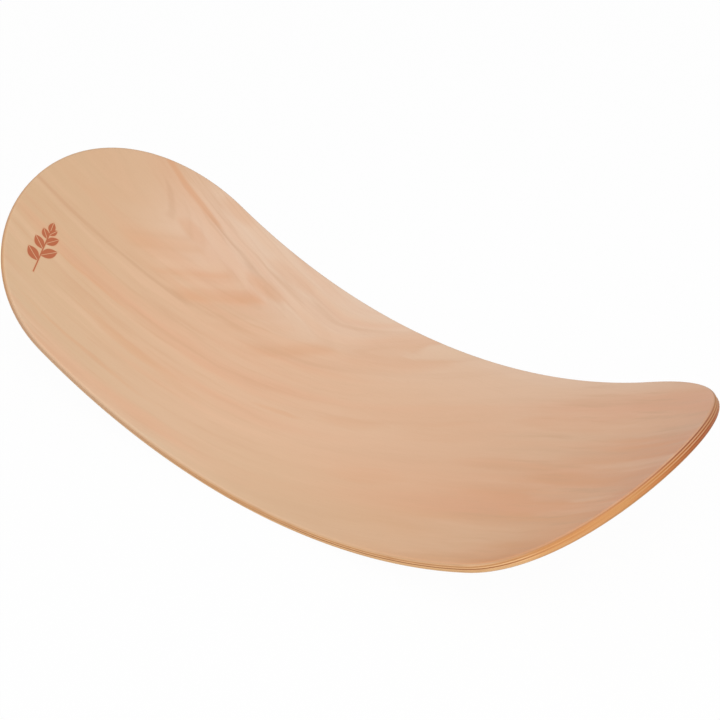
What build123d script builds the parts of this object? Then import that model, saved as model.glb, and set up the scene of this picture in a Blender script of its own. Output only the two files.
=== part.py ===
from build123d import *
import os
from math import cos, pi, sin

# Rocker board: veneers pressed to one round bend, cut to an outline with straight long sides
# and half-round ends, and rounded along both edges of the rim.
#
# Frame: millimetres. X along the board, Y across it, Z up. The board stands level on the
# lowest line of its round underside, which is Y at X = 0, Z = 0. The bend's axis is parallel
# to Y, straight above the origin.

# Driving dimensions
board_width = 300.0  # across the board, and the diameter of its half-round ends
board_length = 833.0  # from tip to tip along the bent upper face
rocking_radius = 540.0  # of the underside, which rolls on the floor
face_thickness = 1.1  # the two outer veneers
core_thickness = 1.1  # each veneer between them
edge_rounding = 3.0  # radius along the upper and the lower edge of the rim

# Veneers from the upper face down. The grain runs along the board in the face, back and long
# sheets, and across it in the cross and centre sheets.
core_names = ["long_ply_1", "cross_ply_1", "long_ply_2", "centre_ply"]
core_names += ["long_ply_3", "cross_ply_2", "long_ply_4"]
veneers = (
    [("face_veneer", face_thickness)]
    + [(name, core_thickness) for name in core_names]
    + [("back_veneer", face_thickness)]
)

board_thickness = sum(thickness for _, thickness in veneers)
sitting_radius = rocking_radius - board_thickness  # of the concave upper face
end_radius = board_width / 2
end_centre = board_length / 2 - end_radius  # along the bend, from the middle to an end's centre
rim_radius = min(edge_rounding, 0.45 * board_thickness)  # both roundings have to fit the rim
end_spans = 24  # stretches of the curve that goes round an end
tool_overhang = 20.0  # how far a cutting body stands past each long side


def bend_cylinder(radius):
    """A solid cylinder about the bend's axis, a little wider than the board."""
    width = board_width + 2 * tool_overhang
    start = Plane(origin=(0, -width / 2, rocking_radius), x_dir=(0, 0, -1), z_dir=(0, 1, 0))
    return Solid.make_cylinder(radius, width, start)


def end_curve(side):
    """Plan view of the half-round end of the upper face, bent, at side +1 or -1 of the middle."""
    turns = [pi * (step / end_spans - 0.5) for step in range(end_spans + 1)]
    points = []
    for turn in turns:
        along = end_centre + end_radius * cos(turn)
        points.append((side * sitting_radius * sin(along / sitting_radius), end_radius * sin(turn)))
    leaving = side * end_radius * cos(end_centre / sitting_radius)
    return Edge.make_spline(points, tangents=[(leaving, 0), (-leaving, 0)], parameters=turns, scale=False)


def upper_face():
    """The concave upper face: the flat outline wrapped on the bend without stretching it."""
    right_end = end_curve(1)
    left_end = end_curve(-1)
    front_side = Edge.make_line(left_end @ 0, right_end @ 0)
    back_side = Edge.make_line(right_end @ 1, left_end @ 1)
    plan = Face(Wire([front_side, right_end, back_side, left_end]))
    column = Solid.extrude(plan, Vector(0, 0, rocking_radius))
    bend = bend_cylinder(sitting_radius).faces().filter_by(GeomType.CYLINDER)[0]
    return (bend & column).faces()[0]


def pressed_board():
    """The whole board, its rim square to the bent faces and rounded along both edges."""
    blank = Solid.thicken(upper_face(), board_thickness)
    rim_edges = blank.faces().filter_by(GeomType.CYLINDER).edges()
    return blank.fillet(rim_radius, rim_edges)


def veneer(board, inner_radius, thickness):
    """One sheet of the board, between two cylinders about the bend's axis."""
    sheet = bend_cylinder(inner_radius + thickness) - bend_cylinder(inner_radius)
    return (board & sheet).solids()[0]


os.makedirs("parts", exist_ok=True)
board = pressed_board()
inner_radius = sitting_radius
for name, thickness in veneers:
    piece = veneer(board, inner_radius, thickness)
    export_step(piece, f"parts/{name}.step")
    inner_radius += thickness
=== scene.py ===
from math import cos, pi, radians, sin, sqrt, tanh

import bpy
from mathutils import Matrix, Vector


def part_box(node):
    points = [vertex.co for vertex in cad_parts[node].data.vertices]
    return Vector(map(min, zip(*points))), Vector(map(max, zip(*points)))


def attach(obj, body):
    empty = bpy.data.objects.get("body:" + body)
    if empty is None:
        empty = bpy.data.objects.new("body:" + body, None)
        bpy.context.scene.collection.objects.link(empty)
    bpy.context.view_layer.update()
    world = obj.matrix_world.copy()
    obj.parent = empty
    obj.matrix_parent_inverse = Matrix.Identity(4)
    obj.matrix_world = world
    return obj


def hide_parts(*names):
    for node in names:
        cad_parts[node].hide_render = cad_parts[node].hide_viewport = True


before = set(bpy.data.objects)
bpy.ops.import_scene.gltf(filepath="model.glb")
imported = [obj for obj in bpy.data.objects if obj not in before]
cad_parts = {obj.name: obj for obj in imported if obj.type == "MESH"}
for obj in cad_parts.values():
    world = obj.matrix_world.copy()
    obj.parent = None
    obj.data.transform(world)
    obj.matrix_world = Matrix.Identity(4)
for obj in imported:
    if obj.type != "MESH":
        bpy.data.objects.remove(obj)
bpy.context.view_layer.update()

# The board, in metres: veneers pressed to one round bend about an axis parallel to Y, cut to an
# outline with straight sides and half-round ends, and rounded along both edges of the rim. It
# runs along X from the marked tip, which bears a burnt sprig, to the plain tip. Its front side
# is at -Y and its back side at +Y.
BOARD_LENGTH = 0.833  # tip to tip along the bent upper face
ROCKING_RADIUS = 0.540  # of the round underside
EDGE_ROUNDING = 0.003  # along the upper and the lower edge of the rim

# Veneers from the upper face down: the node, the direction of its grain and its material slot.
VENEERS = [
    ("face_veneer", "long", "face_sheet"),
    ("long_ply_1", "long", "long_sheet"),
    ("cross_ply_1", "cross", "cross_sheet"),
    ("long_ply_2", "long", "long_sheet"),
    ("centre_ply", "cross", "cross_sheet"),
    ("long_ply_3", "long", "long_sheet"),
    ("cross_ply_2", "cross", "cross_sheet"),
    ("long_ply_4", "long", "long_sheet"),
    ("back_veneer", "long", "back_sheet"),
]

# Taken from the frame: the board's width, and how far each veneer reaches below the bend.
side_low, side_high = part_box("centre_ply")
BOARD_WIDTH = side_high.y - side_low.y
lowest = [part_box(name)[0].z for name, _, _ in VENEERS]
SHEET = (lowest[0] - lowest[-1]) / (len(VENEERS) - 1)  # one veneer's thickness
BOARD_THICKNESS = SHEET * len(VENEERS)
SITTING_RADIUS = ROCKING_RADIUS - BOARD_THICKNESS  # of the concave upper face


# ------------------------------------------------------------------ sockets and nodes

class Plug:
    """An output socket of a node tree; arithmetic on plugs adds Math nodes. A plug without a
    socket stands for the tree alone, as a place to add nodes from."""

    def __init__(self, tree, socket=None):
        self.tree = tree
        self.socket = socket

    def node(self, kind, settings=None, values=None, output=0):
        """Adds any other node: its settings first, with a ramp's stops and ease among them, then
        the values or links of its sockets."""
        made = self.tree.nodes.new(kind)
        for name, value in (settings or {}).items():
            if name == "stops":
                fill_ramp(made.color_ramp, value)
            elif name == "ease":
                made.color_ramp.interpolation = value
            else:
                setattr(made, name, value)
        for key, value in (values or {}).items():
            if isinstance(value, Plug):
                self.tree.links.new(value.socket, made.inputs[key])
            else:
                made.inputs[key].default_value = value
        return Plug(self.tree, made.outputs[output])

    def maths(self, operation, *values):
        return self.node("ShaderNodeMath", {"operation": operation}, dict(enumerate(values)))

    def __add__(self, other):
        return self.maths("ADD", self, other)

    def __radd__(self, other):
        return self.maths("ADD", other, self)

    def __sub__(self, other):
        return self.maths("SUBTRACT", self, other)

    def __rsub__(self, other):
        return self.maths("SUBTRACT", other, self)

    def __mul__(self, other):
        return self.maths("MULTIPLY", self, other)

    def __truediv__(self, other):
        return self.maths("DIVIDE", self, other)

    def __pow__(self, other):
        return self.maths("POWER", self, other)

    def __neg__(self):
        return self.maths("SUBTRACT", 0.0, self)

    def __abs__(self):
        return self.maths("ABSOLUTE", self)

    def root(self):
        return self.maths("SQRT", self)

    def sine(self):
        return self.maths("SINE", self)

    def cosine(self):
        return self.maths("COSINE", self)

    def tanh(self):
        return self.maths("TANH", self)

    def least(self, other):
        return self.maths("MINIMUM", self, other)

    def most(self, other):
        return self.maths("MAXIMUM", self, other)

    def clamp(self, low=0.0, high=1.0):
        return self.most(low).least(high)

    def rises(self, low, high):
        """0 up to low, 1 from high, and a smooth step between."""
        settings = {"interpolation_type": "SMOOTHSTEP"}
        return self.node("ShaderNodeMapRange", settings, {0: self, 1: low, 2: high})

    def falls(self, low, high):
        """1 up to low, 0 from high, and a smooth step between."""
        return 1 - self.rises(low, high)

    def between(self, low, high, ease):
        """1 from low to high and 0 outside, with a smooth step about each, ease to either side."""
        return self.rises(low - ease, low + ease) * self.falls(high - ease, high + ease)

    def shade(self, stops, ease="LINEAR"):
        """The colour of a ramp, which is given as a list of (place, colour)."""
        return self.node("ShaderNodeValToRGB", {"stops": stops, "ease": ease}, {0: self})

    def vector(self, x, y, z):
        return self.node("ShaderNodeCombineXYZ", None, {0: x, 1: y, 2: z})

    def parts(self):
        """The three parts of a vector."""
        return [self.node("ShaderNodeSeparateXYZ", None, {0: self}, output=part) for part in "XYZ"]


def fill_ramp(ramp, stops):
    """Sets a colour ramp's stops, a list of (place, colour)."""
    while len(ramp.elements) < len(stops):
        ramp.elements.new(1.0)
    for element, (place, colour) in zip(ramp.elements, stops):
        element.position = place
        element.color = colour


# ------------------------------------------------------------------ the veneers' shape

OUTER_RINGS = 26  # rings of an outer sheet's mesh, between the middle line and the rim
INNER_RINGS = 12  # and of an inner sheet's, which shows at the rim only
WALL_RINGS = 10  # rings down the rim of one veneer
AROUND = 288  # steps round the outline; even, so that both long sides match
RING_SPREAD = 0.85  # under 1, the rings lie closer together towards the rim
WELD = 2e-6  # vertices nearer to each other than this are one
SHARP_EDGE = radians(40)  # a mesh edge that turns more is shaded sharp


def veneer_tree():
    """Geometry Nodes for one pressed veneer, from named sizes."""
    tree = bpy.data.node_groups.new("pressed_veneer", "GeometryNodeTree")
    sizes = {
        "Board length": BOARD_LENGTH,
        "Board width": BOARD_WIDTH,
        "Board thickness": BOARD_THICKNESS,
        "Sitting radius": SITTING_RADIUS,
        "Edge rounding": EDGE_ROUNDING,
        "Upper depth": 0.0,
        "Lower depth": SHEET,
        "Rim crowding": 0.0,
        "Face rings": float(OUTER_RINGS),
    }
    for name, value in sizes.items():
        socket = tree.interface.new_socket(name, in_out="INPUT", socket_type="NodeSocketFloat")
        socket.default_value = value
    tree.interface.new_socket("Finish", in_out="INPUT", socket_type="NodeSocketMaterial")
    tree.interface.new_socket("Geometry", in_out="OUTPUT", socket_type="NodeSocketGeometry")
    entry = tree.nodes.new("NodeGroupInput")
    given = {socket.name: Plug(tree, socket) for socket in entry.outputs if socket.name}
    start = Plug(tree)

    # A sheet of vertices: round the outline one way, over the veneer's section the other way.
    face_rings = given["Face rings"]
    section_steps = face_rings * 2 + WALL_RINGS
    counts = {"Vertices X": AROUND + 1, "Vertices Y": section_steps + 1}
    index = start.node("GeometryNodeInputIndex")
    lap = index.maths("FLOOR", (index + 0.5) / (section_steps + 1))
    step = index - lap * (section_steps + 1)

    # Where the outline has got to: a half circle at each end, a straight on each side.
    end_radius = given["Board width"] / 2
    end_centre = given["Board length"] / 2 - end_radius
    half_turn = end_radius * pi
    walked = lap * ((end_centre * 4 + half_turn * 2) / AROUND)
    first_turn = (walked - end_centre).most(0.0).least(half_turn)
    second_turn = (walked - end_centre * 3 - half_turn).most(0.0).least(half_turn)
    heading = (first_turn + second_turn) / end_radius - pi / 2
    back_stretch = (walked - end_centre - half_turn).most(0.0).least(end_centre * 2)
    last_stretch = (walked - end_centre * 3 - half_turn * 2).most(0.0).least(end_centre)
    core = walked.least(end_centre) - back_stretch + last_stretch

    # The section: out along the upper face, down the rim, and back along the lower face.
    out = (step / face_rings).clamp()
    down = ((step - face_rings) / WALL_RINGS).clamp()
    back = ((step - face_rings - WALL_RINGS) / face_rings).clamp()

    # The rings of the rim crowd towards the sheet's upper face at 0, and its lower face at 1.
    crowding = given["Rim crowding"]
    crowded_up = down * down
    crowded_down = 1 - (1 - down) ** 2
    eased = crowded_up * (1 - crowding) + crowded_down * crowding
    depth = given["Upper depth"] + (given["Lower depth"] - given["Upper depth"]) * eased

    rounding = given["Edge rounding"]
    into_rounding = (rounding - depth).most(depth - given["Board thickness"] + rounding).most(0.0)
    inset = rounding - (rounding * rounding - into_rounding * into_rounding).most(0.0).root()
    reach = (end_radius - inset) * (out ** RING_SPREAD) * ((1 - back) ** RING_SPREAD)

    # The flat place of each vertex, then the bend.
    along = core + reach * heading.cosine()
    across = reach * heading.sine()
    angle = along / given["Sitting radius"]
    radius = given["Sitting radius"] + depth
    axis_height = given["Sitting radius"] + given["Board thickness"]
    place = start.vector(radius * angle.sine(), across, axis_height - radius * angle.cosine())

    sheet = start.node("GeometryNodeMeshGrid", None, counts)
    bent = start.node("GeometryNodeSetPosition", None, {"Geometry": sheet, "Position": place})
    joined = {"Geometry": bent, "Distance": WELD}
    closed = start.node("GeometryNodeMergeByDistance", None, joined)
    outward = start.node("GeometryNodeFlipFaces", None, {"Mesh": closed})
    real = start.node("GeometryNodeRealizeInstances", None, {"Geometry": outward})
    coated = {"Geometry": real, "Material": given["Finish"]}
    finished = start.node("GeometryNodeSetMaterial", None, coated)
    tree.links.new(finished.socket, tree.nodes.new("NodeGroupOutput").inputs[0])
    return tree


def press_veneer(tree, number, finish):
    """One veneer as a plain mesh, standing for its node of the frame."""
    node, _, slot = VENEERS[number]
    last = len(VENEERS) - 1
    holder = bpy.data.objects.new(node + "_sheet", bpy.data.meshes.new(node + "_start"))
    bpy.context.scene.collection.objects.link(holder)
    shaping = holder.modifiers.new("pressing", "NODES")
    shaping.node_group = tree
    values = {
        "Upper depth": number * SHEET,
        "Lower depth": (number + 1) * SHEET,
        "Rim crowding": number / last,
        "Face rings": OUTER_RINGS if number in (0, last) else INNER_RINGS,
        "Finish": finish,
    }
    for item in tree.interface.items_tree:
        if item.in_out == "INPUT" and item.name in values:
            shaping[item.identifier] = values[item.name]
    bpy.context.view_layer.update()
    graph = bpy.context.evaluated_depsgraph_get()
    mesh = bpy.data.meshes.new_from_object(holder.evaluated_get(graph), depsgraph=graph)
    holder.modifiers.remove(shaping)
    mesh.name = node + "_sheet"
    holder.data = mesh
    mesh.shade_smooth()
    mesh.set_sharp_from_angle(angle=SHARP_EDGE)
    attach(holder, "root")
    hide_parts(node)


# ------------------------------------------------------------------ colours and noise

def paint(red, green, blue):
    """A colour written as 0 to 255, as light."""
    parts = [value / 255 for value in (red, green, blue)]
    lit = [part / 12.92 if part <= 0.04045 else ((part + 0.055) / 1.055) ** 2.4 for part in parts]
    return (*lit, 1.0)


def new_material(name):
    material = bpy.data.materials.new(name)
    material.use_nodes = True
    tree = material.node_tree
    tree.nodes.clear()
    return material, tree, Plug(tree)


def tint(share, base, over):
    """The colour over, laid on base by a share of 0 to 1. A Mix node takes its colours at sockets
    6 and 7, and gives the mixed one at 2."""
    values = {0: share, 6: base, 7: over}
    return share.node("ShaderNodeMix", {"data_type": "RGBA"}, values, output=2)


def lay_on(colour, coats):
    """Lays coats on a colour, one on another: a list of (share, colour)."""
    for share, shade in coats:
        colour = tint(share, colour, shade)
    return colour


def noise(place, detail=2.0, roughness=0.5):
    """Soft noise of 0 to 1, with a cell of about one unit."""
    values = {"Vector": place, "Scale": 1.0, "Detail": detail, "Roughness": roughness}
    return place.node("ShaderNodeTexNoise", {"noise_dimensions": "3D"}, values)


def mottle(along, across, cells, layer, detail=2.0, roughness=0.5):
    """Noise over a sheet, with so many cells a metre each way. Each layer is another pattern."""
    place = along.vector(along * cells[0], across * cells[1], layer)
    return noise(place, detail, roughness)


# ------------------------------------------------------------------ the surface of a sheet

LEAST_TURN = 1e-6  # keeps the facing defined where the surface looks straight out of the bend
GRAIN_LEAN = radians(7)  # of the fibres of a face, from the board's length or width


class Spot:
    """Where a point of the surface lies on the flat blank, and how it faces there. A turned sheet
    lies end for end, so its places and facings change sign."""

    def __init__(self, start, grain, turned):
        x, y, z = start.node("ShaderNodeTexCoord", output="Object").parts()
        below_axis = ROCKING_RADIUS - z
        self.along = x.maths("ARCTAN2", x, below_axis) * SITTING_RADIUS
        self.across = y
        self.depth = (x * x + below_axis * below_axis).root() - SITTING_RADIUS

        # How squarely it faces out of the bend, and which way it points on the blank.
        x, y, z = start.node("ShaderNodeTexCoord", output="Normal").parts()
        angle = self.along / SITTING_RADIUS
        self.outward = abs(z * angle.cosine() - x * angle.sine())
        endward = x * angle.cosine() + z * angle.sine()
        length = (endward * endward + y * y + LEAST_TURN).root()
        self.endward = endward / length
        self.sideward = y / length
        if turned:
            self.along, self.across = -self.along, -self.across
            self.endward, self.sideward = -self.endward, -self.sideward

        # Along the grain, and along and across its fibres, which lean from it.
        self.grain = grain
        self.grainway, aside = self.along, self.across
        if grain == "cross":
            self.grainway, aside = self.across, self.along
        self.fibreway = self.grainway * cos(GRAIN_LEAN) + aside * sin(GRAIN_LEAN)
        self.fibreside = aside * cos(GRAIN_LEAN) - self.grainway * sin(GRAIN_LEAN)

    def cut_across(self, lean):
        """How squarely the rim cuts the sheet's fibres, which lean by so much, 0 to 1."""
        if self.grain == "long":
            return abs(self.endward * cos(lean) + self.sideward * sin(lean))
        return abs(self.sideward * cos(lean) - self.endward * sin(lean))


def past(value, edge, ease):
    """How far a value has gone past an edge, with a turn as soft as ease."""
    over = value - edge
    return (over + (over * over + ease * ease).root()) * 0.5


def soft_least(one, other, ease):
    """The lesser of two values, with a turn as soft as ease where they meet."""
    apart = one - other
    return (one + other - (apart * apart + ease * ease).root()) * 0.5


# ------------------------------------------------------------------ the figure of a face

# The grain's long S, which climbs across the board as it runs along it and falls to both tips.
S_LEAN = 0.03  # climb for each metre along, all over
S_MIDDLE = 0.04  # where the S is steepest
S_REACH = 0.15  # about half the length of its steep part
S_CLIMB = 0.06  # half the height of its steep part
S_LEVEL = 0.0157  # brings the climb to nothing at the middle of the board
S_DIP = 0.20  # fall for each metre towards either tip
S_DIP_EASE = 0.25  # about the length over which the fall sets in
S_SPREAD = 5.0  # share by which it climbs more for each metre towards the back side
# The fold on which the lines turn back in a flame: its place across the board, its slant, how far
# it draws back past the middle, and how softly the lines turn.
FOLD_PLACE = 0.160
FOLD_SLANT = 0.17
FOLD_RETREAT = 0.12
FOLD_EASE = 0.02


def climb(along, tanh_of, root_of):
    """How far the grain has climbed across the board, for a plug or for a number, given the
    functions that suit it."""
    swing = tanh_of((along - S_MIDDLE) / S_REACH) * S_CLIMB + S_LEVEL
    dip = (root_of(along * along + S_DIP_EASE ** 2) - S_DIP_EASE) * S_DIP
    return along * S_LEAN + swing - dip


def grain_flow(along, across):
    """Which line of the figure a point lies on. The lines climb in an S; over the marked half they
    turn back along the board's back side, in a flame."""
    climbed = climb(along, Plug.tanh, Plug.root)
    rising = across - climbed * (1 + across * S_SPREAD)
    fold = FOLD_PLACE - along * FOLD_SLANT + along.rises(-0.10, 0.06) * FOLD_RETREAT
    return soft_least(rising, fold - across, FOLD_EASE)


# The flame of the face veneer: its rings cross the axis on a slant, and from corners on either
# side of it they run back towards the marked tip. A corner is (side, distance from the axis, how
# much the ring turns there, ease).
FLAME_AXIS = 0.045
FLAME_SLANT = 0.90
FLAME_CORNERS = [
    (-1, 0.0405, 5.7, 0.002),
    (1, 0.026, 2.0, 0.003),
    (1, 0.055, 7.2, 0.004),
]
DARK_FRONT = -0.188  # where the darkest ring crosses the axis
# Its rings as (place of the front, width, strength).
FLAME_RINGS = [
    (-0.345, 0.040, 0.10),
    (-0.276, 0.052, 0.38),
    (-0.229, 0.016, 0.34),
    (DARK_FRONT, 0.040, 1.00),
    (-0.135, 0.030, 0.15),
    (-0.090, 0.042, 0.50),
]
# Each ring darkens slowly and pales fast: (distance from its front, in widths, share of its
# strength).
RING_PROFILE = [(-0.62, 0.0), (0.0, 1.0), (0.38, 0.0)]
# Dark lines where two rings run back, and pale ones between rings, as (front, half width, lowest
# and highest across from the axis, strength, which is negative for pale).
FLAME_LINES = [
    (DARK_FRONT, 0.020, -0.120, -0.034, 0.75),
    (DARK_FRONT, 0.018, 0.048, 0.064, 0.85),
    (-0.322, 0.010, 0.024, 0.053, 0.50),
    (-0.245, 0.012, -0.026, 0.030, -0.70),
    (-0.212, 0.010, -0.026, 0.040, -0.60),
]
LINE_END = 0.004  # half of the way over which a line fades at its ends
RING_START = -0.50  # the fronts that the rings' ramp covers start here
RING_SPAN = 0.75


def ring_stops():
    """Ramp stops that rise to each ring's strength and fall again."""
    stops = [(0.0, (0, 0, 0, 1))]
    for front, width, strength in FLAME_RINGS:
        for shift, share in RING_PROFILE:
            place = (front + shift * width - RING_START) / RING_SPAN
            level = strength * share
            stops.append((place, (level, level, level, 1)))
    return stops


def flame_front(along, across, seed):
    """Which growth layer a point lies on in the flame, and how far aside of the axis it is."""
    wander = mottle(along, across, (4.0, 9.0), seed, 3.0, 0.55) - 0.5
    waver = mottle(along, across, (16.0, 34.0), seed + 5) - 0.5
    aside = across - FLAME_AXIS + wander * 0.010 + waver * 0.004
    front = along - aside * FLAME_SLANT + wander * 0.020
    for side, edge, turn, ease in FLAME_CORNERS:
        front = front + past(aside * side, edge, ease) * turn
    return front, aside


def flame_coats(along, across, front, aside, seed):
    """The growth layers that the veneer knife cut in one long flame: broad rings, dark and pale
    lines, and fine rings."""
    patchy = mottle(along, across, (9.0, 22.0), seed + 2).rises(0.30, 0.62)
    rings = ((front - RING_START) / RING_SPAN).shade(ring_stops(), "EASE")
    rings = rings * aside.rises(-0.044, -0.026) * aside.falls(0.020, 0.034)
    upper_limb = abs(front - DARK_FRONT).falls(0.010, 0.048)
    upper_limb = upper_limb * aside.rises(0.058, 0.064) * along.falls(-0.27, -0.25)
    rings = (rings * (0.45 + patchy * 0.55)).most(upper_limb * 0.8)

    lines = 0.0
    for layer, half_width, low, high, strength in FLAME_LINES:
        line = abs(front - layer).falls(half_width * 0.2, half_width)
        lines = line * aside.between(low, high, LINE_END) * strength + lines
    lines = lines * (0.6 + patchy * 0.4)

    fine = mottle(front, along, (42.0, 3.0), seed + 8, 1.0).rises(0.50, 0.72)
    fine = fine * aside.rises(-0.050, -0.030) * (1 - along.rises(-0.28, -0.02) * 0.8)
    fine = fine * along.rises(-0.40, -0.30)
    return [
        (rings * 0.64, paint(218, 158, 116)),
        (lines.clamp() * 0.40, paint(188, 138, 102)),
        ((-lines).clamp() * 0.35, paint(232, 198, 168)),
        (fine * 0.17, paint(200, 156, 120)),
    ]


# Soft streaks of the face veneer, which follow its grain: the middle of each on the flat blank,
# half its length and half its width, and its tone, from -1 for pale to 1 for red.
FACE_STREAKS = [
    (0.080, 0.046, 0.085, 0.018, 0.22),
    (0.110, 0.030, 0.065, 0.014, 0.32),
    (0.225, 0.074, 0.070, 0.010, 0.50),
    (0.318, 0.100, 0.055, 0.010, 0.42),
    (0.345, 0.058, 0.085, 0.017, -0.50),
    (0.230, 0.052, 0.060, 0.012, -0.40),
    (0.205, 0.002, 0.070, 0.008, 0.30),
    (0.290, -0.013, 0.070, 0.008, 0.70),
    (0.320, 0.014, 0.080, 0.006, 0.60),
    (0.320, 0.002, 0.050, 0.007, 0.40),
    (0.345, -0.020, 0.045, 0.008, 0.40),
    (0.240, 0.103, 0.040, 0.012, -0.45),
    (0.040, 0.140, 0.050, 0.010, -0.80),
    (0.378, 0.008, 0.045, 0.010, 0.80),
    (0.325, -0.048, 0.080, 0.009, -0.50),
    (0.345, 0.035, 0.060, 0.003, 0.50),
    (0.360, -0.022, 0.050, 0.003, 0.60),
    (0.340, -0.075, 0.055, 0.004, 0.45),
    (0.352, -0.062, 0.045, 0.003, -0.60),
    (0.222, -0.046, 0.050, 0.005, 0.35),
    (0.255, -0.068, 0.060, 0.006, 0.20),
    (0.350, -0.108, 0.055, 0.012, 0.85),
    (0.268, -0.132, 0.040, 0.006, 0.60),
    (0.155, -0.126, 0.075, 0.010, -0.35),
    (0.080, -0.060, 0.045, 0.010, 0.40),
    (-0.036, 0.111, 0.050, 0.013, 0.55),
    (-0.012, 0.091, 0.065, 0.020, 0.55),
    (0.015, -0.006, 0.040, 0.009, 0.32),
    (-0.215, -0.080, 0.080, 0.007, 0.50),
    (-0.225, -0.040, 0.045, 0.009, -0.50),
    (-0.165, 0.122, 0.040, 0.010, 0.45),
    (-0.140, -0.078, 0.035, 0.006, 0.25),
    (-0.294, -0.055, 0.055, 0.003, 0.50),
    (-0.235, -0.119, 0.100, 0.003, 0.40),
    (-0.054, -0.037, 0.030, 0.004, 0.45),
    (-0.176, 0.087, 0.032, 0.010, 0.75),
    (-0.265, 0.140, 0.030, 0.010, 0.60),
    (-0.277, 0.079, 0.026, 0.009, 0.45),
    (-0.208, 0.062, 0.028, 0.014, -0.60),
]


def soft_streaks(along, across, flow):
    """How far the face veneer's streaks turn its colour, from -1 for pale to 1 for red."""
    wobble = mottle(along, across, (14.0, 30.0), layer=3.0, detail=3.0, roughness=0.6) - 0.5
    place = along + wobble * 0.040
    drift = flow + wobble * 0.010
    height = across + wobble * 0.010
    tone = 0.0
    for middle, aside, half_length, half_width, strength in FACE_STREAKS:
        # Beside the flame a streak runs straight along the board, elsewhere with the figure.
        beside_flame = middle < -0.10 and aside > 0.05
        line = aside - climb(middle, tanh, sqrt) * (1 + aside * S_SPREAD)
        width_way = (height - aside) if beside_flame else (drift - line)
        width_way = width_way * (1 / half_width)
        length_way = (place - middle) * (1 / half_length)
        near = (1 - length_way * length_way - width_way * width_way * 0.7).rises(-0.15, 1.0)
        tone = tone + near * strength
    return tone


def broad_coats(spot, bow):
    """A face's broad tones, with painted light among them, each between places in metres along the
    board and across it. It is tan at the marked tip, and pale along the back side as a painted
    reflection, with a painted highlight along the back edge. It is redder and darker towards the
    plain tip, partly its own tone and partly painted shade where the face turns from the key lamp.
    A turned sheet has them the other way about."""
    along, across = spot.along, spot.across
    tan = (along + across * 0.8).falls(-0.50, -0.08)
    # Pale along the back side: a painted reflection.
    pale = spot.fibreside.rises(0.04, 0.12) * (1 - along.rises(-0.10, 0.08) * 0.70)
    pale = pale * (1 - tan * 0.75) * along.rises(-0.36, -0.26)
    # Redder and darker towards the plain tip: partly the veneer's own tone, partly painted shade.
    red = (along - across * 0.6 + bow * 0.10).rises(0.02, 0.42)
    front_edge = across.falls(-0.14, -0.03) * along.rises(-0.14, 0.0)
    front_corner = along.rises(0.24, 0.34) * across.falls(-0.15, -0.085)
    # Darker and redder at the plain tip: painted shade where the face turns from the key lamp,
    # with some of the veneer's own tone.
    plain_tip_tone_and_shade = along.rises(0.32, 0.42) * (1 - across.rises(0.02, 0.07) * 0.7)
    # A painted highlight along the back edge.
    back_edge_highlight = across.rises(0.122, 0.145) * along.rises(-0.16, -0.08)
    marked_edge = across.falls(-0.145, -0.125) * along.falls(-0.16, -0.06)
    front_side = across.falls(-0.145, -0.06) * along.falls(0.06, 0.18)
    plain_side = across.falls(-0.13, -0.085) * along.rises(0.10, 0.20)
    return [
        (tan, paint(211, 176, 140)),
        (pale * 0.9, paint(231, 201, 176)),
        (red, paint(217, 157, 115)),
        (front_edge * 0.5, paint(214, 178, 140)),
        (front_corner * 0.8, paint(200, 128, 77)),
        (plain_tip_tone_and_shade * 0.6, paint(205, 145, 109)),
        (back_edge_highlight * 0.16, paint(236, 214, 196)),
        (marked_edge * 0.45, paint(212, 197, 169)),
        (front_side * 0.22, paint(205, 178, 148)),
        (plain_side * 0.2, paint(208, 150, 108)),
    ]


# ------------------------------------------------------------------ the rim

# The rim's colours from side grain, 0, to end grain, 1. Each entry gives them for its upper
# sheets and for its lower sheets, and the depth where the lower ones begin. The lower sheets'
# colours are darker and redder at the tips, partly their grain and partly painted shade under
# the rounded lower edge.
LOWER_LONG_GRAIN_AND_SHADE = [
    (0.0, paint(226, 180, 130)),
    (0.21, paint(226, 179, 128)),
    (0.31, paint(215, 159, 104)),
    (0.55, paint(206, 147, 92)),
    (0.74, paint(200, 145, 88)),
    (0.89, paint(188, 123, 67)),
    (0.978, paint(168, 95, 46)),
    (1.0, paint(162, 84, 40)),
]
RIM_SHADES = {
    "face": (
        [
            (0.0, paint(208, 170, 133)),
            (0.12, paint(203, 162, 128)),
            (0.42, paint(188, 141, 107)),
            (0.66, paint(189, 143, 110)),
            (0.83, paint(192, 150, 118)),
            (0.95, paint(197, 156, 126)),
            (1.0, paint(205, 164, 134)),
        ],
        LOWER_LONG_GRAIN_AND_SHADE,
        0.0022,
    ),
    "long": (
        [
            (0.0, paint(216, 172, 130)),
            (0.12, paint(208, 165, 122)),
            (0.42, paint(192, 137, 88)),
            (0.7, paint(190, 129, 78)),
            (0.85, paint(186, 125, 74)),
            (0.94, paint(176, 113, 74)),
            (1.0, paint(154, 91, 59)),
        ],
        LOWER_LONG_GRAIN_AND_SHADE,
        0.0022,
    ),
    "cross": (
        [
            (0.0, paint(204, 152, 112)),
            (0.3, paint(200, 146, 99)),
            (0.56, paint(198, 141, 89)),
            (0.8, paint(200, 138, 82)),
            (1.0, paint(197, 138, 88)),
        ],
        # Lower cross sheets: dark at the tips, where their side grain shows, as painted shade
        # under the rounded lower edge.
        [
            (0.0, paint(174, 98, 56)),
            (0.2, paint(178, 103, 58)),
            (0.45, paint(191, 120, 73)),
            (0.67, paint(199, 138, 87)),
            (0.84, paint(208, 153, 102)),
            (0.95, paint(214, 163, 107)),
            (1.0, paint(226, 180, 128)),
        ],
        0.0062,
    ),
}
UPPER_LEAN = radians(4)  # of the fibres in the upper part of the rim
LOWER_LEAN = radians(12)  # and in its lower part
BORDER = 0.0001  # half of the depth over which the rim passes from one sheet's look to the next
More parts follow.
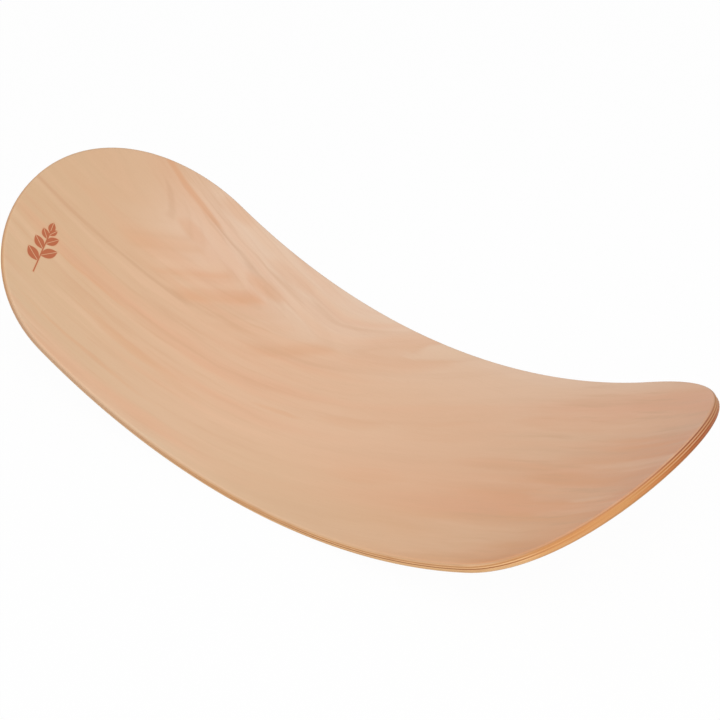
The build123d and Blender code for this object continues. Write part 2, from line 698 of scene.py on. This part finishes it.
CENTRE_PLY_DEPTHS = (0.0039, 0.0058)  # these hold it, and no other cross sheet
GLUE_FROM_FACE = 0.0005  # no glue line lies nearer than this to the upper or the lower face


def rim_colour(spot, outer, cut, end_pores):
    """The colour of a sheet's rim. It goes by cut, which is how squarely the rim cuts the fibres,
    since end grain drinks more of the lacquer. At the tips its lower sheets also carry painted
    shade under the rounded lower edge."""
    along, across, depth = spot.along, spot.across, spot.depth
    upper_shades, lower_grain_and_shade, border = RIM_SHADES["face" if outer else spot.grain]
    upper = cut.shade(upper_shades)
    # The lower sheets' colours hold painted shade at the tips.
    lower = spot.cut_across(LOWER_LEAN).shade(lower_grain_and_shade)
    colour = tint(depth.rises(border - BORDER, border + BORDER), upper, lower)
    if spot.grain == "cross":
        centre = depth.between(*CENTRE_PLY_DEPTHS, BORDER) * cut.rises(0.86, 1.0)
        colour = tint(centre * 0.66, colour, paint(156, 92, 46))
    streaks = noise(depth.vector(along * 26.0, across * 26.0, depth * 520.0), 3.0, 0.6)
    pitted = end_pores.rises(0.45, 0.7) * cut.rises(0.4, 0.9)

    # Towards the marked tip the rim is paler, and palest near the upper face. At the marked tip
    # itself it is lighter and more orange, as painted light on a rim that faces away from the
    # lamps.
    # A turned sheet has this at its other end.
    marked_half = along.falls(-0.24, 0.0)
    paler = marked_half * along.rises(-0.36, -0.30)
    palest = marked_half * depth.falls(0.0019, 0.0029)
    marked_tip_painted_light = along.falls(-0.37, -0.29)
    coats = [
        (streaks.rises(0.45, 0.75) * 0.35, paint(176, 118, 74)),
        (pitted * 0.25, paint(130, 76, 46)),
        (paler * 0.45, paint(206, 176, 150)),
        (palest * 0.85, paint(210, 175, 143)),
        # Painted light on the marked tip's rim.
        (marked_tip_painted_light * 0.45, paint(224, 172, 122)),
    ]
    return lay_on(colour, coats)


def glue_lines(depth):
    """1 on a thin line at each joint between two veneers."""
    sheets_down = depth / SHEET
    joint = abs(sheets_down - sheets_down.maths("ROUND", sheets_down))
    inner = depth.between(GLUE_FROM_FACE, BOARD_THICKNESS - GLUE_FROM_FACE, BORDER)
    return joint.falls(0.02, 0.07) * inner


# ------------------------------------------------------------------ the burnt sprig

# A sprig of leaves burnt into the upper face at the marked tip: the stem's middle on the flat
# blank, the way it points, and each leaf as (place on the stem, turn from the stem in degrees,
# length).
SPRIG_PLACE = (-0.346, -0.076)
SPRIG_TURN = radians(118)
STEM_LENGTH = 0.052
STEM_HALF_WIDTH = 0.0006
VEIN_HALF_WIDTH = 0.00035
LEAF_FULLNESS = 1.15  # of a leaf's half width, as a parabola over its length
LEAVES = [
    (-0.012, 52, 0.019),
    (-0.005, -50, 0.019),
    (0.003, 47, 0.017),
    (0.010, -44, 0.016),
    (0.016, 38, 0.013),
    (0.021, -34, 0.011),
    (0.024, 2, 0.013),
]


def burnt_sprig(along, across):
    """Masks of the burnt sprig, and of the faint scorching round it."""
    x = along - SPRIG_PLACE[0]
    y = across - SPRIG_PLACE[1]
    up = x * cos(SPRIG_TURN) + y * sin(SPRIG_TURN)
    aside = y * cos(SPRIG_TURN) - x * sin(SPRIG_TURN)
    nearest = (abs(up) - STEM_LENGTH / 2).most(abs(aside) - STEM_HALF_WIDTH)
    for place, turn, length in LEAVES:
        outward = (up - place) * cos(radians(turn)) + aside * sin(radians(turn))
        sideways = aside * cos(radians(turn)) - (up - place) * sin(radians(turn))
        share = (outward / length).clamp()
        blade = abs(sideways) - share * (1 - share) * (length * LEAF_FULLNESS)
        vein = VEIN_HALF_WIDTH - abs(sideways)
        within = (-outward).most(outward - length)
        nearest = nearest.least(blade.most(vein).most(within))
    burnt = nearest.falls(-0.0001, 0.0002)
    scorched = nearest.falls(0.0, 0.0016)
    return burnt, scorched


# ------------------------------------------------------------------ beech

PLAIN_BEECH = paint(224, 184, 152)


def fine_grain(spot):
    """Fine fibres, short dark flecks and pores, all drawn out along the fibres."""

    def drawn_out(long_cells, thin_cells, detail, roughness=0.5):
        long_way = spot.fibreway * long_cells
        place = long_way.vector(long_way, spot.fibreside * thin_cells, spot.depth * thin_cells)
        return noise(place, detail, roughness)

    fibres = drawn_out(28.0, 950.0, 3.0, 0.65)
    flecks = drawn_out(300.0, 2300.0, 1.0).rises(0.66, 0.78)
    pores = drawn_out(700.0, 7000.0, 1.0).rises(0.60, 0.75)
    return fibres, flecks, pores


def face_coats(spot, outer, seed):
    """The tones, streaks and rings of a sheet. Its streaks follow the grain; those of an outer
    sheet follow its figure, and are calm over the middle of the board and beyond the flame. What
    is added to the seed keeps the layers of the noise apart."""
    along, across = spot.along, spot.across
    bow = mottle(spot.fibreway, spot.fibreside, (2.0, 5.0), seed + 14) - 0.5
    flow = spot.fibreside + bow * 0.03
    lively = 1.0
    streaky = 1.0
    if outer:
        waver = mottle(along, across, (24.0, 36.0), seed + 31) - 0.5
        flow = grain_flow(along, across) + waver * 0.005
        front, aside = flame_front(along, across, seed)
        calm = along.rises(-0.10, 0.02) * along.falls(0.12, 0.24)
        lively = (1 - calm * 0.6) * (0.3 + front.rises(-0.30, -0.19) * 0.7)
        streaky = 1 - along.rises(-0.17, -0.08) * 0.45 + along.rises(0.12, 0.36) * 1.7
    broad = mottle(spot.grainway, flow, (2.4, 22.0), seed + 9)
    middling = mottle(spot.grainway, flow, (6.0, 62.0), seed + 27)
    narrow = mottle(spot.grainway, flow, (10.0, 130.0), seed + 3, 3.0, 0.55)

    coats = []
    if outer:
        tone = soft_streaks(along, across, flow) * (0.55 + middling * 0.9)
        coats += broad_coats(spot, bow)
        coats += [
            (tone.clamp() * 0.60, paint(217, 158, 117)),
            ((-tone).clamp() * 0.55, paint(226, 192, 160)),
        ]
    coats += [
        (broad.rises(0.48, 0.70) * lively * 0.55, paint(224, 168, 134)),
        (broad.falls(0.30, 0.50) * lively * 0.50, paint(219, 184, 152)),
        (middling.rises(0.50, 0.72) * lively * 0.36, paint(209, 164, 130)),
        (middling.falls(0.28, 0.50) * lively * 0.34, paint(229, 190, 158)),
        (narrow.rises(0.50, 0.76) * lively * streaky * 0.34, paint(206, 160, 124)),
    ]
    if outer:
        coats += flame_coats(along, across, front, aside, seed)
    return coats


def beech(name, grain, seed, outer=False, mark=False, turned=False):
    """Clear-lacquered beech veneer, its grain along or across the board. An outer sheet has the
    flame figure, a turned one lies end for end, and a marked one bears the burnt sprig."""
    material, tree, start = new_material(name)
    spot = Spot(start, grain, turned)
    along, across, depth = spot.along, spot.across, spot.depth
    fibres, flecks, pores = fine_grain(spot)

    # The rim begins where the surface turns away from the face.
    on_rim = spot.outward.falls(0.58, 0.98)
    cut = spot.cut_across(UPPER_LEAN)
    end_grain = on_rim * cut
    end_pores = noise(depth.vector(along * 2600.0, across * 2600.0, depth * 2600.0))
    glue = glue_lines(depth)
    coats = face_coats(spot, outer, seed) + [
        ((fibres - 0.5) * 0.22 + 0.02, paint(190, 140, 100)),
        (flecks * 0.16, paint(170, 118, 80)),
        (pores * 0.08, paint(150, 100, 66)),
        (on_rim, rim_colour(spot, outer, cut, end_pores)),
        (glue * 0.35, paint(140, 90, 54)),
    ]
    height = fibres * 0.3 - flecks * 0.3 - pores * 0.4 - end_grain * end_pores * 0.6 - glue * 1.5
    roughness = 0.44 + end_grain * 0.12 + (fibres - 0.5) * 0.10
    if mark:
        burnt, scorched = burnt_sprig(along, across)
        on_face = depth.falls(0.0002, 0.0004)
        coats += [
            (scorched * on_face * 0.35, paint(205, 145, 100)),
            (burnt * on_face * 0.92, paint(178, 94, 60)),
        ]
        height = height - burnt * on_face * 2.0
        roughness = roughness + burnt * 0.15

    relief = {"Strength": 0.12, "Distance": 0.0002, "Height": height}
    surface = {
        "Base Color": lay_on(PLAIN_BEECH, coats),
        "Roughness": roughness,
        "Normal": start.node("ShaderNodeBump", None, relief),
        "Coat Weight": 0.08 - on_rim * 0.05,
        "Coat Roughness": 0.28,
        "Specular IOR Level": 0.20,
    }
    shader = start.node("ShaderNodeBsdfPrincipled", None, surface)
    tree.links.new(shader.socket, tree.nodes.new("ShaderNodeOutputMaterial").inputs[0])
    return material


# ------------------------------------------------------------------ floor, light and camera

WHITE = (1, 1, 1, 1)
ROOM_LIGHT = 0.51  # of the even white room, on the board
FLOOR_HALF = 6.0  # from its middle to each edge
FLOOR_GREY = (0.78, 0.78, 0.78, 1)
FLOOR_WHITENESS = 0.97  # how much of the floor's look is plain white; the rest takes shadows
LAMP_AIM = Vector((0, 0, 0.07))
LAMP_SIDE = 1.6  # of each square lamp
LAMPS = [  # name, place, watts
    ("key", Vector((1.15, -1.15, 2.2)), 44.0),
    ("fill", Vector((-0.2, -2.4, 0.9)), 5.0),
]
CAMERA_AIM = Vector((0.01358, 0.01641, 0.0746))
CAMERA_AZIMUTH = radians(40.444)  # from -Y towards +X
CAMERA_ELEVATION = radians(38.645)
CAMERA_ROLL = radians(-3.006)
CAMERA_DISTANCE = 1.7555
CAMERA_LENS = 91.154  # focal length in millimetres


def shown_white(start):
    """1 where the room and the floor are looked at straight, in a gloss or through glass."""
    camera = start.node("ShaderNodeLightPath", output="Is Camera Ray")
    gloss = start.node("ShaderNodeLightPath", output="Is Glossy Ray")
    through = start.node("ShaderNodeLightPath", output="Is Transmission Ray")
    return camera.most(gloss).most(through)


def pale_floor():
    """A wide plain floor that shows white to the camera and keeps a soft shadow."""
    half = FLOOR_HALF
    mesh = bpy.data.meshes.new("floor")
    corners = [(-half, -half, 0), (half, -half, 0), (half, half, 0), (-half, half, 0)]
    mesh.from_pydata(corners, [], [(0, 1, 2, 3)])
    floor = bpy.data.objects.new("floor", mesh)
    bpy.context.scene.collection.objects.link(floor)
    material, tree, start = new_material("pale_floor")
    matt = start.node("ShaderNodeBsdfDiffuse", None, {"Color": FLOOR_GREY})
    white = start.node("ShaderNodeEmission", None, {"Color": WHITE, "Strength": 1.0})
    whiteness = shown_white(start) * FLOOR_WHITENESS
    shown = start.node("ShaderNodeMixShader", None, {0: whiteness, 1: matt, 2: white})
    tree.links.new(shown.socket, tree.nodes.new("ShaderNodeOutputMaterial").inputs[0])
    mesh.materials.append(material)


def white_room():
    """An even white room, which shows white to the camera and lights the board less."""
    world = bpy.data.worlds.new("studio")
    bpy.context.scene.world = world
    world.use_nodes = True
    tree = world.node_tree
    tree.nodes.clear()
    start = Plug(tree)
    strength = ROOM_LIGHT + shown_white(start) * (1 - ROOM_LIGHT)
    room = start.node("ShaderNodeBackground", None, {"Color": WHITE, "Strength": strength})
    tree.links.new(room.socket, tree.nodes.new("ShaderNodeOutputWorld").inputs[0])


def soft_lamp(name, place, power):
    """A square soft lamp aimed at the board."""
    data = bpy.data.lights.new(name, "AREA")
    data.shape = "SQUARE"
    data.size = LAMP_SIDE
    data.energy = power
    light = bpy.data.objects.new(name, data)
    light.location = place
    light.rotation_euler = (LAMP_AIM - place).to_track_quat("-Z", "Y").to_euler()
    bpy.context.scene.collection.objects.link(light)


def set_camera():
    """Looks down on the board over its front side and its plain tip."""
    level = cos(CAMERA_ELEVATION)
    x = sin(CAMERA_AZIMUTH) * level
    y = -cos(CAMERA_AZIMUTH) * level
    away = Vector((x, y, sin(CAMERA_ELEVATION)))
    data = bpy.data.cameras.new("camera")
    data.lens = CAMERA_LENS
    camera = bpy.data.objects.new("camera", data)
    aimed = (-away).to_track_quat("-Z", "Y").to_matrix().to_4x4()
    place = Matrix.Translation(CAMERA_AIM + away * CAMERA_DISTANCE)
    camera.matrix_world = place @ aimed @ Matrix.Rotation(CAMERA_ROLL, 4, "Z")
    bpy.context.scene.collection.objects.link(camera)
    bpy.context.scene.camera = camera


# ------------------------------------------------------------------ the scene

bpy.context.scene.view_settings.view_transform = "Standard"
set_camera()
white_room()
for lamp in LAMPS:
    soft_lamp(*lamp)
pale_floor()

FINISHES = {
    "face_sheet": beech("lacquered_face_veneer", "long", seed=2.0, outer=True, mark=True),
    "cross_sheet": beech("cross_grain_ply", "cross", seed=21.0),
    "long_sheet": beech("long_grain_ply", "long", seed=33.0),
    "back_sheet": beech("lacquered_back_veneer", "long", seed=47.0, outer=True, turned=True),
}
pressing = veneer_tree()
for number, (_, _, slot) in enumerate(VENEERS):
    press_veneer(pressing, number, FINISHES[slot])
